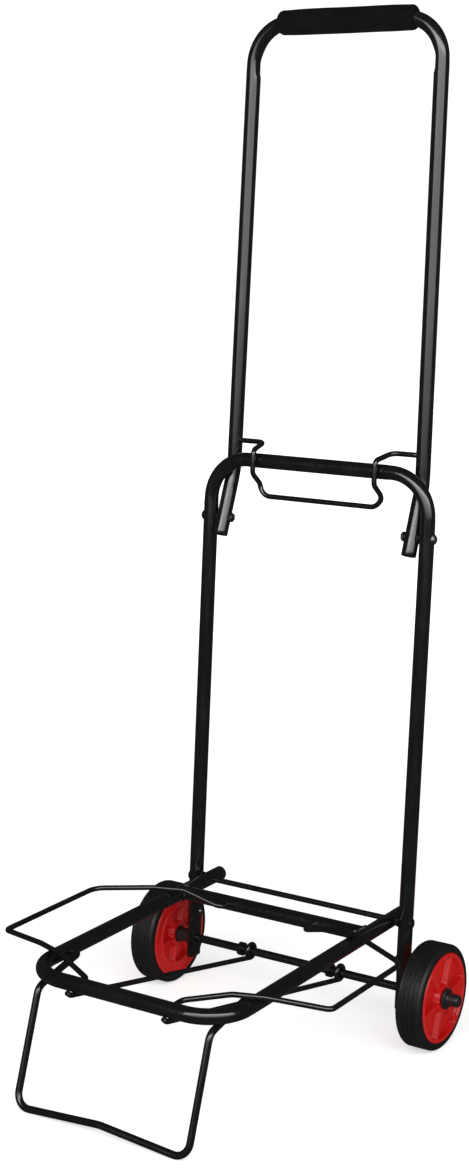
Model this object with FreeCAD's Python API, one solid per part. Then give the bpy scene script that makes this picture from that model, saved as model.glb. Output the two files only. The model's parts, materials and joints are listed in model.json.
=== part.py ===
import FreeCAD, Part
import math
import os

# Folding hand truck with two wheels, a fold-down load deck and a fold-back handle.
# Millimetres, +Z up, -Y towards the load deck, +X to the right for someone who faces the deck.
# The origin is on the floor, in the middle of the truck's width and depth.

# --- frame -----------------------------------------------------------------------------
tube_radius = 7.0
tube_wall = 1.2
lean = 3.58                 # degrees that the legs lean back from upright
leg_half_spacing = 118.3    # leg centre to the middle plane
leg_foot = 18.5             # leg below the axle, along the leg
leg_top = 484.2             # crossbar centre above the axle, along the leg
frame_bend = 40.0
foot_half_thickness = 3.8   # flattened leg end, across the truck
foot_spread = 2.2           # flattened leg end wider than the tube, each way along the floor
foot_flat_top = 12.0        # flattening starts here, above the axle
foot_round_bottom = 24.0    # and has run out here
foot_half_width = tube_radius + foot_spread
leg_rivet_height = 28.0
leg_rivet_radius = 2.0
leg_rivet_head_radius = 3.4
leg_rivet_head_height = 1.9

# --- handle ----------------------------------------------------------------------------
handle_side_gap = 1.3       # between a leg and the handle's leg beside it
handle_back_gap = 0.8       # between the crossbar and the handle behind it
handle_taper = 4.0          # each handle leg leans inwards by this much
handle_rise = 409.8         # grip centre above the crossbar
handle_kink_drop = 11.2     # kink below the crossbar
handle_pivot_drop = 57.5    # bolts below the crossbar
handle_tail = 17.0          # tube below the bolts
handle_bend = 38.0
handle_kink_bend = 45.0
handle_half_low = leg_half_spacing - 2 * tube_radius - handle_side_gap
handle_half_top = handle_half_low - handle_taper
handle_behind = 2 * tube_radius + handle_back_gap
handle_top = leg_top + handle_rise
handle_kink_height = leg_top - handle_kink_drop
handle_pivot_height = leg_top - handle_pivot_drop
foam_thickness = 5.0
grip_inset = 27.5           # from the handle's leg centre to the grip's end
grip_end_round = 4.0
grip_radius = tube_radius + foam_thickness
grip_half_length = handle_half_top - grip_inset
bolt_radius = 2.5
bolt_head_rim = 2.6         # head beyond the shank, all round
bolt_head_height = 3.0
bolt_head_seat = 0.8        # the head's underside is hollowed to sit on the round leg
nut_across_flats = 8.0
nut_thickness = 2.7
nut_gap = 0.3               # between the nut and the round tube
bolt_end = 0.6              # thread past the nut
washer_rim = 3.0
washer_thickness = 0.9
bolt_head_radius = bolt_radius + bolt_head_rim
washer_radius = bolt_radius + washer_rim

# --- latch wire --------------------------------------------------------------------------
latch_radius = 2.5
latch_axis_rise = 16.8      # its ends in the handle's legs, above the crossbar
latch_shoulder_inset = 33.0 # from the handle's leg centre to the first bend
latch_side_inset = 37.0     # and to the stretch in front of the crossbar
latch_front_gap = 0.9
latch_under_gap = 5.5
latch_hook_rise = 3.0       # the hook's upper corner above its under gap
latch_hook_drop = 8.0       # and its lower corner below it
latch_bar_drop = 34.0       # middle bar below the crossbar centre
latch_bar_behind = 5.0
latch_bend = 5.5
latch_low_bend = 11.0
latch_pin_depth = 3.0       # end of the wire past the inner wall of the handle's leg
latch_axis_height = leg_top + latch_axis_rise
latch_shoulder = handle_half_low - latch_shoulder_inset
latch_half_width = handle_half_low - latch_side_inset

# --- load deck -----------------------------------------------------------------------------
deck_pivot_height = 63.85   # above the axle, along the leg
deck_side_gap = 1.4         # between a leg and the side tube beside it
deck_length = 292.0         # pivot to the front tube's centre
deck_tail = 20.0            # side tube behind the pivot
deck_bend = 38.0
deck_rod_radius = 2.75
deck_rod_head_rim = 1.85
deck_rod_head_height = 1.4
deck_rod_head_seat = 1.6
crossbar_reach = 48.0       # pivot to the crossbar's centre
plug_length = 12.0
plug_cap = 3.0
deck_washer_rim = 2.75
deck_washer_thickness = 0.9
deck_half_width = leg_half_spacing - 2 * tube_radius - deck_side_gap
deck_rod_head = deck_rod_radius + deck_rod_head_rim
deck_washer_radius = deck_rod_radius + deck_washer_rim

# --- wings -----------------------------------------------------------------------------------
wing_radius = 2.5
wing_hinge_inset = 54.9     # hinge line to the side tube's centre
wing_overhang = 67.5        # side tube's centre to the outer rail
wing_rise = 0.3             # gap between the wing and the side tube under it
wing_outer_rise = 6.0       # outer rail above the tube centres
wing_rear_cross = 70.0      # pivot to where the rear leg crosses the side tube
wing_rear_corner = 100.0
wing_front_corner_setback = 56.0
wing_front_cross_setback = 35.0
wing_cross_slant = 5.0      # each leg slants this much, both ways, where it crosses the side tube
wing_rear_run = 8.0         # straight run out of the crossbar
wing_front_run = 9.0        # straight run out of the front tube
wing_nest = 7.0             # the right wing is this much shorter at each end, to fold inside the left
wing_bend = 7.0
wing_front_bend = 4.9
wing_cross_bend = 21.0
wing_corner_bend = 16.0
wing_pin_depth = 5.0        # pin inside the tube it turns in
pin_clearance = 0.08
wing_hinge_half = deck_half_width - wing_hinge_inset
wing_reach = deck_half_width + wing_overhang
wing_front_corner = deck_length - wing_front_corner_setback
wing_front_cross = deck_length - wing_front_cross_setback

# --- stand -------------------------------------------------------------------------------------
stand_radius = 3.25
stand_inset = 12.9          # from the side tube's centre to the wire's leg
stand_pivot_setback = 60.0  # ends of the wire behind the front tube
stand_foot_ahead = 31.8     # foot in front of the front tube
stand_corner_ahead = 8.0    # upper corner in front of the tube it rests under
stand_foot_bend = 13.0
stand_top_bend = 11.0
stand_hook_bend = 5.0
stand_middle_rise = 7.0
stand_middle_bend = 40.0
stand_pin_depth = 5.5
stand_stop_gap = 0.3
stand_half_width = deck_half_width - stand_inset
stand_pivot_reach = deck_length - stand_pivot_setback
stand_foot_reach = deck_length + stand_foot_ahead

# --- struts --------------------------------------------------------------------------------------
strut_radius = 2.5
strut_beside_hinge = 2.5    # outside the wings' hinge line
strut_stop_gap = 0.35
strut_cradle = 38.0         # degrees that the front end curls round the front tube
strut_end = 4.0
strut_half_spacing = wing_hinge_half + strut_beside_hinge

# --- wheels --------------------------------------------------------------------------------------
wheel_radius = 50.0
wheel_width = 28.6          # between the hub's faces
tyre_thickness = 7.5
tyre_shoulder = 4.0         # rounding along the tread's edge, across the tyre
tyre_shoulder_drop = 3.5    # and along its radius
tyre_inset = 1.3            # tyre's side inside the hub's face
tyre_groove_depth = 0.8
tyre_groove_width = 0.9
tyre_groove_count = 3
tyre_shoulder_steps = 4
rim_recess = 0.3            # rim's face inside the hub's face
rim_band = 3.2              # between the outer face's pockets and the tyre
rim_inner_band = 13.5       # between the inner face's pockets and the tyre
rim_hub_wall = 4.0
pocket_count = 6
pocket_rib = 5.0
pocket_depth = 5.0
pocket_turn = 20.0          # degrees that the ribs stand turned from upright, towards the back
bush_wall = 4.0
axle_radius = 4.0
spacer_length = 12.9        # between a leg and its wheel
spacer_wall = 3.0
collar_wall = 2.6
collar_length = 5.0
collar_offset = 10.5        # collar centre beside its strut
hub_washer_rim = 2.0        # washer beyond the bush, all round
hub_washer_thickness = 3.0
hub_washer_chamfer = 0.6
cap_wall = 2.5
cap_length = 12.0
cap_skin = 2.0
cap_round = 2.5
cap_end_gap = 0.3           # between the axle's end and the cap
bush_end_gap = 0.3          # between a bush and what holds it on each side
running_clearance = 0.06
tyre_seat_radius = wheel_radius - tyre_thickness
bush_radius = axle_radius + bush_wall
rim_hub_radius = bush_radius + rim_hub_wall
hub_washer_radius = bush_radius + hub_washer_rim
cap_radius = axle_radius + cap_wall
spacer_radius = axle_radius + spacer_wall
collar_radius = axle_radius + collar_wall
wheel_inner_face = leg_half_spacing + foot_half_thickness + spacer_length
hub_face = wheel_inner_face + wheel_width

lean_rad = math.radians(lean)
up_leg = FreeCAD.Vector(0, math.sin(lean_rad), math.cos(lean_rad))
behind_leg = FreeCAD.Vector(0, math.cos(lean_rad), -math.sin(lean_rad))
across = FreeCAD.Vector(1, 0, 0)

# The deepest points in front and behind fix the origin in the middle of the depth.
pivot_behind_axle = deck_pivot_height * math.sin(lean_rad)
front_reach = stand_foot_reach - pivot_behind_axle + stand_radius
rear_reach = handle_top * math.sin(lean_rad) + handle_behind * math.cos(lean_rad) + grip_radius
axle_point = FreeCAD.Vector(0, (front_reach - rear_reach) / 2, wheel_radius)
deck_pivot = axle_point + up_leg * deck_pivot_height


def on_frame(x, height, behind=0.0):
    """A point by its height above the axle along the leg, and its distance behind the leg plane."""
    return axle_point + across * x + up_leg * height + behind_leg * behind


def on_deck(x, reach, above=0.0):
    """A point by its distance in front of the deck's pivot, and its height above the tube centres."""
    return deck_pivot + FreeCAD.Vector(x, -reach, above)


def rounded_path(points, bends):
    """Straight runs through the points, with an arc of the given radius at each inner point."""
    edges = []
    start = points[0]
    for before, corner, after, bend in zip(points, points[1:], points[2:], bends):
        back = (before - corner).normalize()
        ahead = (after - corner).normalize()
        half = back.getAngle(ahead) / 2
        run = bend / math.tan(half)
        arc_start = corner + back * run
        arc_end = corner + ahead * run
        inward = (back + ahead).normalize()
        arc_middle = corner + inward * (bend / math.sin(half) - bend)
        if (arc_start - start).Length > 1e-6:
            edges.append(Part.LineSegment(start, arc_start).toShape())
        edges.append(Part.Arc(arc_start, arc_middle, arc_end).toShape())
        start = arc_end
    edges.append(Part.LineSegment(start, points[-1]).toShape())
    return Part.Wire(edges)


def round_bar(points, bends, radius):
    """A solid round bar along a path."""
    path = rounded_path(points, bends)
    direction = points[1] - points[0]
    section = Part.Wire(Part.makeCircle(radius, points[0], direction))
    return path.makePipeShell([section], True, False)


def tube(points, bends, radius, wall):
    """An open-ended tube along a path."""
    outside = round_bar(points, bends, radius)
    inside = round_bar(points, bends, radius - wall)
    return outside.cut(inside)


def cylinder(radius, start, end):
    """A solid cylinder between two points."""
    return Part.makeCylinder(radius, (end - start).Length, start, end - start)


def ring(outer, inner, start, end):
    """A cylinder with a bore."""
    return cylinder(outer, start, end).cut(cylinder(inner, start, end))


def dome(radius, height, base, direction):
    """A round rivet or bolt head: a shallow cap of a ball on a flat face, turned about its axis."""
    ball = (radius ** 2 + height ** 2) / (2 * height)
    half = math.asin(radius / ball) / 2
    top = FreeCAD.Vector(0, 0, height)
    rim = FreeCAD.Vector(radius, 0, 0)
    middle = FreeCAD.Vector(ball * math.sin(half), 0, ball * math.cos(half) - (ball - height))
    outline = Part.Wire([Part.LineSegment(FreeCAD.Vector(0, 0, 0), rim).toShape(),
                         Part.Arc(rim, middle, top).toShape(),
                         Part.LineSegment(top, FreeCAD.Vector(0, 0, 0)).toShape()])
    cap = Part.Face(outline).revolve(FreeCAD.Vector(0, 0, 0), FreeCAD.Vector(0, 0, 1), 360)
    cap.Placement = FreeCAD.Placement(base, FreeCAD.Rotation(FreeCAD.Vector(0, 0, 1), direction))
    return cap


def hexagon(flats, thickness, base, direction):
    """A hexagonal nut body without its bore."""
    corner = flats / math.sqrt(3)
    points = [FreeCAD.Vector(corner * math.cos(math.radians(60 * k)),
                             corner * math.sin(math.radians(60 * k)), 0) for k in range(7)]
    body = Part.Face(Part.makePolygon(points)).extrude(FreeCAD.Vector(0, 0, thickness))
    body.Placement = FreeCAD.Placement(base, FreeCAD.Rotation(FreeCAD.Vector(0, 0, 1), direction))
    return body


def one_node(solids):
    """Several separate solids that share a node."""
    return solids[0] if len(solids) == 1 else Part.makeCompound(solids)


def foot_outline(side, height, half_thick, half_wide, shrink):
    """The flattened tube's section at one height: two flats joined by two round edges."""
    thick = half_thick - shrink
    wide = half_wide - shrink
    flat = wide - thick
    corners = [(thick, flat), (0, wide), (-thick, flat), (-thick, -flat), (0, -wide), (thick, -flat)]
    at = [on_frame(side * leg_half_spacing + x, height, y) for x, y in corners]
    return Part.Wire([Part.Arc(at[0], at[1], at[2]).toShape(),
                      Part.LineSegment(at[2], at[3]).toShape(),
                      Part.Arc(at[3], at[4], at[5]).toShape(),
                      Part.LineSegment(at[5], at[0]).toShape()])


def round_outline(side, height, shrink):
    """The round tube's section at one height, in four arcs that answer the flattened one's."""
    radius = tube_radius - shrink
    turn = math.radians(50)
    marks = [turn, math.pi / 2, math.pi - turn, math.pi, math.pi + turn,
             1.5 * math.pi, 2 * math.pi - turn, 2 * math.pi]
    at = [on_frame(side * leg_half_spacing + radius * math.cos(a), height, radius * math.sin(a))
          for a in marks]
    return Part.Wire([Part.Arc(at[0], at[1], at[2]).toShape(),
                      Part.Arc(at[2], at[3], at[4]).toShape(),
                      Part.Arc(at[4], at[5], at[6]).toShape(),
                      Part.Arc(at[6], at[7], at[0]).toShape()])


def leg_end(side, shrink):
    """The lower end of a leg, from round to flat, as a solid that is smaller all round by shrink."""
    flat = [foot_outline(side, h, foot_half_thickness, foot_half_width, shrink)
            for h in (-leg_foot, foot_flat_top)]
    straight = Part.makeLoft(flat, True, True)
    taper = Part.makeLoft([flat[1], round_outline(side, foot_round_bottom, shrink)], True, True)
    return straight, taper


def lower_frame():
    corners = [on_frame(-leg_half_spacing, foot_round_bottom), on_frame(-leg_half_spacing, leg_top),
               on_frame(leg_half_spacing, leg_top), on_frame(leg_half_spacing, foot_round_bottom)]
    bends = [frame_bend, frame_bend]
    outside = round_bar(corners, bends, tube_radius)
    inside = round_bar(corners, bends, tube_radius - tube_wall)
    for side in (-1, 1):
        for solid in leg_end(side, 0):
            outside = outside.fuse(solid)
        for solid in leg_end(side, tube_wall):
            inside = inside.fuse(solid)
    frame = outside.cut(inside)
    for height, radius in ((0, axle_radius + running_clearance),
                           (deck_pivot_height, deck_rod_radius + running_clearance),
                           (handle_pivot_height, bolt_radius + running_clearance),
                           (leg_rivet_height, leg_rivet_radius)):
        reach = leg_half_spacing + 2 * tube_radius
        frame = frame.cut(cylinder(radius, on_frame(-reach, height), on_frame(reach, height)))
    return frame


def leg_rivets():
    """A rivet across each leg, its two heads hollowed to sit on the round tube."""
    rivets = []
    for side in (-1, 1):
        x = side * leg_half_spacing
        ends = [on_frame(x + outward * tube_radius, leg_rivet_height) for outward in (-1, 1)]
        rivet = cylinder(leg_rivet_radius, ends[0], ends[1])
        for end, outward in zip(ends, (-across, across)):
            rivet = rivet.fuse(rivet_head(side, end, outward))
        rivets.append(rivet)
    return rivets


def rivet_head(side, base, outward):
    """A domed head outside one leg, with its rim carried in until it meets the round tube."""
    seat = tube_radius - math.sqrt(tube_radius ** 2 - leg_rivet_head_radius ** 2)
    skirt = cylinder(leg_rivet_head_radius, base - outward * seat, base).cut(leg_cylinder(side))
    return skirt.fuse(dome(leg_rivet_head_radius, leg_rivet_head_height, base, outward))


def handle_slope():
    """How far the handle tube comes forward per millimetre that it goes down, below its kink."""
    return handle_behind / (handle_kink_height - handle_pivot_height)


def handle_outline():
    """Corner points of the handle's centre line, from the end of one tail to the other, and its bends."""
    tail = handle_pivot_height - handle_tail
    tail_behind = -handle_tail * handle_slope()
    half = [on_frame(-handle_half_low, tail, tail_behind),
            on_frame(-handle_half_low, handle_kink_height, handle_behind),
            on_frame(-handle_half_top, handle_top, handle_behind)]
    other = [FreeCAD.Vector(-p.x, p.y, p.z) for p in reversed(half)]
    return half + other, [handle_kink_bend, handle_bend, handle_bend, handle_kink_bend]


def upper_handle():
    points, bends = handle_outline()
    handle = tube(points, bends, tube_radius, tube_wall)
    reach = handle_half_low + 2 * tube_radius
    bolt_hole = cylinder(bolt_radius + running_clearance, on_frame(-reach, handle_pivot_height),
                         on_frame(reach, handle_pivot_height))
    for side in (-1, 1):
        inside = on_frame(side * (handle_half_low - 2 * tube_radius), latch_axis_height, handle_behind)
        middle = on_frame(side * handle_half_low, latch_axis_height, handle_behind)
        handle = handle.cut(cylinder(latch_radius + pin_clearance, inside, middle))
    return handle.cut(bolt_hole)


def handle_grip():
    """Foam sleeve whose ends reach a little way round the handle's bends."""
    ends = [on_frame(side * grip_half_length, handle_top, handle_behind) for side in (-1, 1)]
    foam = cylinder(grip_radius, ends[0], ends[1])
    foam = foam.makeFillet(grip_end_round, [e for e in foam.Edges if e.Closed])
    points, bends = handle_outline()
    return foam.cut(round_bar(points, bends, tube_radius))


def handle_bolts():
    bolts = []
    for side in (-1, 1):
        head = on_frame(side * (leg_half_spacing + tube_radius), handle_pivot_height)
        tip_x = handle_half_low - tube_radius - nut_gap - nut_thickness - bolt_end
        tip = on_frame(side * tip_x, handle_pivot_height)
        outward = across * side
        bolt = cylinder(bolt_radius, tip, head)
        skirt = cylinder(bolt_head_radius, head - outward * bolt_head_seat, head).cut(leg_cylinder(side))
        bolts.append(bolt.fuse(skirt).fuse(dome(bolt_head_radius, bolt_head_height, head, outward)))
    return bolts


def leg_cylinder(side):
    """The space of one straight leg."""
    x = side * leg_half_spacing
    return cylinder(tube_radius, on_frame(x, foot_round_bottom), on_frame(x, leg_top - frame_bend))


def handle_washers():
    washers = []
    gap = leg_half_spacing - handle_half_low - 2 * tube_radius
    start = handle_half_low + tube_radius + (gap - washer_thickness) / 2
    for side in (-1, 1):
        washers.append(ring(washer_radius, bolt_radius, on_frame(side * start, handle_pivot_height),
                            on_frame(side * (start + washer_thickness), handle_pivot_height)))
    return washers


def handle_nuts():
    nuts = []
    for side in (-1, 1):
        face = on_frame(side * (handle_half_low - tube_radius - nut_gap), handle_pivot_height)
        inward = across * -side
        nut = hexagon(nut_across_flats, nut_thickness, face, inward)
        shank = cylinder(bolt_radius, face, face + inward * nut_thickness)
        nuts.append(nut.cut(shank))
    return nuts


def latch_wire():
    half = handle_half_low - tube_radius + tube_wall
    front = -(tube_radius + latch_radius + latch_front_gap)
    top = leg_top + tube_radius + latch_radius + latch_front_gap
    under = leg_top - tube_radius - latch_radius - latch_under_gap
    bar = leg_top - latch_bar_drop
    side = [(half + latch_pin_depth, latch_axis_height, handle_behind),
            (latch_shoulder, latch_axis_height, handle_behind),
            (latch_half_width, top, front),
            (latch_half_width, under + latch_hook_rise, front),
            (latch_half_width, under - latch_hook_drop, latch_bar_behind),
            (latch_half_width, bar, latch_bar_behind)]
    left = [on_frame(-x, s, n) for x, s, n in side]
    right = [on_frame(x, s, n) for x, s, n in reversed(side)]
    bends = [latch_bend, latch_bend, latch_bend, latch_bend, latch_low_bend]
    return round_bar(left + right, bends + bends[::-1], latch_radius)


def deck_frame():
    left = [on_deck(-deck_half_width, -deck_tail), on_deck(-deck_half_width, deck_length)]
    right = [FreeCAD.Vector(-p.x, p.y, p.z) for p in reversed(left)]
    frame = tube(left + right, [deck_bend, deck_bend], tube_radius, tube_wall)
    reach = deck_half_width + 2 * tube_radius
    frame = frame.cut(cylinder(deck_rod_radius + running_clearance, on_deck(-reach, 0), on_deck(reach, 0)))
    for side in (-1, 1):
        stand_pin = cylinder(stand_radius + pin_clearance,
                             on_deck(side * (deck_half_width - 2 * tube_radius), stand_pivot_reach),
                             on_deck(side * deck_half_width, stand_pivot_reach))
        wing_pin = cylinder(wing_radius + pin_clearance,
                            on_deck(side * wing_hinge_half, deck_length - 2 * tube_radius),
                            on_deck(side * wing_hinge_half, deck_length))
        frame = frame.cut(stand_pin).cut(wing_pin)
    return frame


def deck_crossbar():
    inner = tube_radius - tube_wall
    bar = ring(tube_radius, inner, on_deck(-deck_half_width, crossbar_reach),
               on_deck(deck_half_width, crossbar_reach))
    for side in (-1, 1):
        x = side * deck_half_width
        bar = bar.cut(cylinder(tube_radius, on_deck(x, -deck_tail), on_deck(x, deck_length)))
        wing_pin = cylinder(wing_radius + pin_clearance, on_deck(side * wing_hinge_half, crossbar_reach),
                            on_deck(side * wing_hinge_half, crossbar_reach + 2 * tube_radius))
        bar = bar.cut(wing_pin)
    return max(bar.Solids, key=lambda solid: solid.Volume)


def deck_rod():
    half = leg_half_spacing + tube_radius
    rod = cylinder(deck_rod_radius, on_deck(-half, 0), on_deck(half, 0))
    for side in (-1, 1):
        end = on_deck(side * half, 0)
        head = dome(deck_rod_head, deck_rod_head_height, end, across * side)
        skirt_start = end - across * (side * deck_rod_head_seat)
        skirt = cylinder(deck_rod_head, skirt_start, end).cut(leg_cylinder(side))
        rod = rod.fuse(head).fuse(skirt)
    return rod


def deck_washers():
    washers = []
    gap = leg_half_spacing - deck_half_width - 2 * tube_radius
    start = deck_half_width + tube_radius + (gap - deck_washer_thickness) / 2
    for side in (-1, 1):
        washers.append(ring(deck_washer_radius, deck_rod_radius, on_deck(side * start, 0),
                            on_deck(side * (start + deck_washer_thickness), 0)))
    return washers


def deck_plug(side):
    """Domed plug pressed into the rear end of a side tube."""
    x = side * deck_half_width
    mouth = on_deck(x, -deck_tail)
    stem = cylinder(tube_radius - tube_wall, mouth + FreeCAD.Vector(0, -plug_length, 0), mouth)
    return stem.fuse(dome(tube_radius, plug_cap, mouth, FreeCAD.Vector(0, 1, 0)))


def wing(side):
    """Side rail that turns over onto the deck, on pins in the crossbar and the front tube."""
    over = tube_radius + wing_radius + wing_rise
    rear_pin = crossbar_reach + tube_radius
    front_pin = deck_length - tube_radius
    nest = wing_nest if side > 0 else 0
    inner = deck_half_width - 2 * tube_radius
    outer = deck_half_width + 2 * tube_radius
    way = [(wing_hinge_half, rear_pin - wing_pin_depth, 0),
           (wing_hinge_half, rear_pin + wing_rear_run + nest, 0),
           (inner, wing_rear_cross - wing_cross_slant + nest, over),
           (outer, wing_rear_cross + wing_cross_slant + nest, over),
           (wing_reach, wing_rear_corner + nest, wing_outer_rise),
           (wing_reach, wing_front_corner - nest, wing_outer_rise),
           (outer, wing_front_cross - wing_cross_slant - nest, over),
           (inner, wing_front_cross + wing_cross_slant - nest, over),
           (wing_hinge_half, front_pin - wing_front_run - nest, 0),
           (wing_hinge_half, front_pin + wing_pin_depth, 0)]
    points = [on_deck(side * x, reach, above) for x, reach, above in way]
    bends = [wing_bend, wing_cross_bend, wing_cross_bend, wing_corner_bend, wing_bend,
             wing_cross_bend, wing_cross_bend, wing_front_bend]
    return round_bar(points, bends, wing_radius)


def stand_wire():
    clear = tube_radius + stand_radius + stand_stop_gap
    bend_from_middle = stand_half_width - (deck_half_width - deck_bend)
    tube_reach = deck_length - deck_bend + math.sqrt(deck_bend ** 2 - bend_from_middle ** 2)
    run = tube_reach - stand_pivot_reach
    dip = math.asin(clear / run)
    corner_reach = tube_reach + stand_corner_ahead
    corner_drop = (corner_reach - stand_pivot_reach) * math.tan(dip)
    lift = stand_foot_bend * stand_middle_rise / stand_half_width    # rounding lifts the foot's corner
    floor = -(deck_pivot.z - stand_radius) - lift
    side = [(deck_half_width - tube_radius + stand_pin_depth, stand_pivot_reach, 0),
            (stand_half_width, stand_pivot_reach, 0),
            (stand_half_width, corner_reach, -corner_drop),
            (stand_half_width, stand_foot_reach, floor)]
    left = [on_deck(-x, reach, above) for x, reach, above in side]
    right = [on_deck(x, reach, above) for x, reach, above in reversed(side)]
    middle = [on_deck(0, stand_foot_reach, floor + stand_middle_rise)]
    bends = [stand_hook_bend, stand_top_bend, stand_foot_bend]
    bends += [stand_middle_bend] + bends[::-1]
    return round_bar(left + middle + right, bends, stand_radius)


def strut(side):
    """Prop with an eye on the axle and a front end that cradles the front tube from below."""
    eye = axle_radius + running_clearance + strut_radius
    cradle = tube_radius + strut_stop_gap + strut_radius
    x = side * strut_half_spacing
    axle_at = axle_point + across * x
    tube_at = on_deck(x, deck_length)
    between = tube_at - axle_at
    slope = math.atan2(between.z, -between.y) + math.asin((eye - cradle) / between.Length)
    ahead = FreeCAD.Vector(0, -math.cos(slope), math.sin(slope))
    below = FreeCAD.Vector(0, -math.sin(slope), -math.cos(slope))

    def round_tube(turn):
        """A point of the cradle, turned forwards from the foot of the straight."""
        return tube_at + (below * math.cos(turn) + ahead * math.sin(turn)) * cradle

    curl = math.radians(strut_cradle) - slope
    end = round_tube(curl)
    tangent = ahead * math.cos(curl) - below * math.sin(curl)
    straight = Part.LineSegment(axle_at + below * eye, round_tube(0)).toShape()
    arc = Part.Arc(round_tube(0), round_tube(curl / 2), end).toShape()
    tip = Part.LineSegment(end, end + tangent * strut_end).toShape()
    section = Part.Wire(Part.makeCircle(strut_radius, axle_at + below * eye, ahead))
    wire = Part.Wire([straight, arc, tip]).makePipeShell([section], True, False)
    return Part.makeTorus(eye, strut_radius, axle_at, across).fuse(wire)


def axle():
    half = hub_face + hub_washer_thickness + cap_length - cap_skin - cap_end_gap
    return cylinder(axle_radius, axle_point - across * half, axle_point + across * half)


def axle_collars():
    collars = []
    for side in (-1, 1):
        middle = axle_point + across * (side * strut_half_spacing - collar_offset)
        half = across * (collar_length / 2)
        collars.append(ring(collar_radius, axle_radius, middle - half, middle + half))
    return collars


def turned(profile, side):
    """A solid of revolution about the axle from (distance out from the inner face, radius) points."""
    at = [axle_point + FreeCAD.Vector(side * (wheel_inner_face + x), 0, r) for x, r in profile]
    face = Part.Face(Part.makePolygon(at + at[:1]))
    return face.revolve(axle_point, across, 360)


def tyre(side):
    """A solid tyre: seat on the rim, elliptical shoulders, and grooves at even steps across the tread."""
    turns = [math.radians(90 * step / tyre_shoulder_steps) for step in range(tyre_shoulder_steps + 1)]
    near = [(tyre_inset, tyre_seat_radius)]
    near += [(tyre_inset + tyre_shoulder * (1 - math.cos(turn)),
              wheel_radius - tyre_shoulder_drop * (1 - math.sin(turn))) for turn in turns]
    edge = tyre_inset + tyre_shoulder
    pitch = (wheel_width - 2 * edge) / (tyre_groove_count + 1)
    tread = []
    for k in range(1, tyre_groove_count + 1):
        middle = edge + k * pitch
        floor = wheel_radius - tyre_groove_depth
        tread += [(middle - tyre_groove_width / 2, wheel_radius), (middle - tyre_groove_width / 4, floor),
                  (middle + tyre_groove_width / 4, floor), (middle + tyre_groove_width / 2, wheel_radius)]
    far = [(wheel_width - x, r) for x, r in reversed(near)]
    return turned(near + tread + far, side)


def rim(side):
    """A moulded disc with ribbed pockets in both faces: out to the tyre outside, and round the hub inside."""
    inner = rim_recess
    outer = wheel_width - rim_recess
    blank = turned([(inner, bush_radius), (inner, tyre_seat_radius),
                    (outer, tyre_seat_radius), (outer, bush_radius)], side)
    for face, floor, band in ((inner, inner + pocket_depth, rim_inner_band),
                              (outer, outer - pocket_depth, rim_band)):
        for k in range(pocket_count):
            turn = 360 / pocket_count * (k + 0.5) - pocket_turn
            blank = blank.cut(pocket(side, face, floor, tyre_seat_radius - band, turn))
    return blank


def pocket(side, near, far, outer, angle):
    """One sector-shaped hollow between two ribs of the rim."""
    half = math.pi / pocket_count
    inner = rim_hub_radius
    inner_half = half - math.asin(pocket_rib / 2 / inner)
    outer_half = half - math.asin(pocket_rib / 2 / outer)

    def at(radius, turn):
        return FreeCAD.Vector(0, radius * math.sin(turn), radius * math.cos(turn))

    edges = [Part.Arc(at(outer, -outer_half), at(outer, 0), at(outer, outer_half)).toShape(),
             Part.LineSegment(at(outer, outer_half), at(inner, inner_half)).toShape(),
             Part.Arc(at(inner, inner_half), at(inner, 0), at(inner, -inner_half)).toShape(),
             Part.LineSegment(at(inner, -inner_half), at(outer, -outer_half)).toShape()]
    start = axle_point + across * (side * (wheel_inner_face + near))
    hollow = Part.Face(Part.Wire(edges)).extrude(across * (side * (far - near)))
    hollow.rotate(FreeCAD.Vector(0, 0, 0), across, angle)
    hollow.translate(start)
    return hollow


def hub_bush(side):
    start = axle_point + across * (side * (wheel_inner_face + bush_end_gap))
    end = axle_point + across * (side * (hub_face - bush_end_gap))
    return ring(bush_radius, axle_radius + running_clearance, start, end)


def axle_spacers():
    spacers = []
    for side in (-1, 1):
        start = axle_point + across * (side * (leg_half_spacing + foot_half_thickness))
        end = axle_point + across * (side * wheel_inner_face)
        spacers.append(ring(spacer_radius, axle_radius, start, end))
    return spacers


def hub_washers():
    washers = []
    for side in (-1, 1):
        start = axle_point + across * (side * hub_face)
        end = start + across * (side * hub_washer_thickness)
        disc = ring(hub_washer_radius, axle_radius, start, end)
        rim_edges = [e for e in disc.Edges if e.Closed and e.Curve.Radius > bush_radius]
        washers.append(disc.makeChamfer(hub_washer_chamfer, rim_edges))
    return washers


def axle_cap(side):
    start = axle_point + across * (side * (hub_face + hub_washer_thickness))
    end = start + across * (side * cap_length)
    body = cylinder(cap_radius, start, end)
    far = [e for e in body.Edges if e.Closed and e.Curve.Center.isEqual(end, 1e-3)]
    body = body.makeFillet(cap_round, far)
    return body.cut(cylinder(axle_radius, start, end - across * (side * cap_skin)))


os.makedirs("parts", exist_ok=True)

nodes = {
    "lower_frame": [lower_frame()],
    "leg_rivets": leg_rivets(),
    "upper_handle": [upper_handle()],
    "handle_grip": [handle_grip()],
    "handle_bolts": handle_bolts(),
    "handle_washers": handle_washers(),
    "handle_nuts": handle_nuts(),
    "latch_wire": [latch_wire()],
    "deck_frame": [deck_frame()],
    "deck_crossbar": [deck_crossbar()],
    "deck_rod": [deck_rod()],
    "deck_washers": deck_washers(),
    "stand_wire": [stand_wire()],
    "axle": [axle()],
    "axle_collars": axle_collars(),
    "axle_spacers": axle_spacers(),
    "hub_washers": hub_washers(),
}
for name, side in (("left", -1), ("right", 1)):
    nodes["deck_plug_" + name] = [deck_plug(side)]
    nodes["wing_" + name] = [wing(side)]
    nodes["strut_" + name] = [strut(side)]
    nodes["tyre_" + name] = [tyre(side)]
    nodes["rim_" + name] = [rim(side)]
    nodes["hub_bush_" + name] = [hub_bush(side)]
    nodes["axle_cap_" + name] = [axle_cap(side)]

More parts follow.
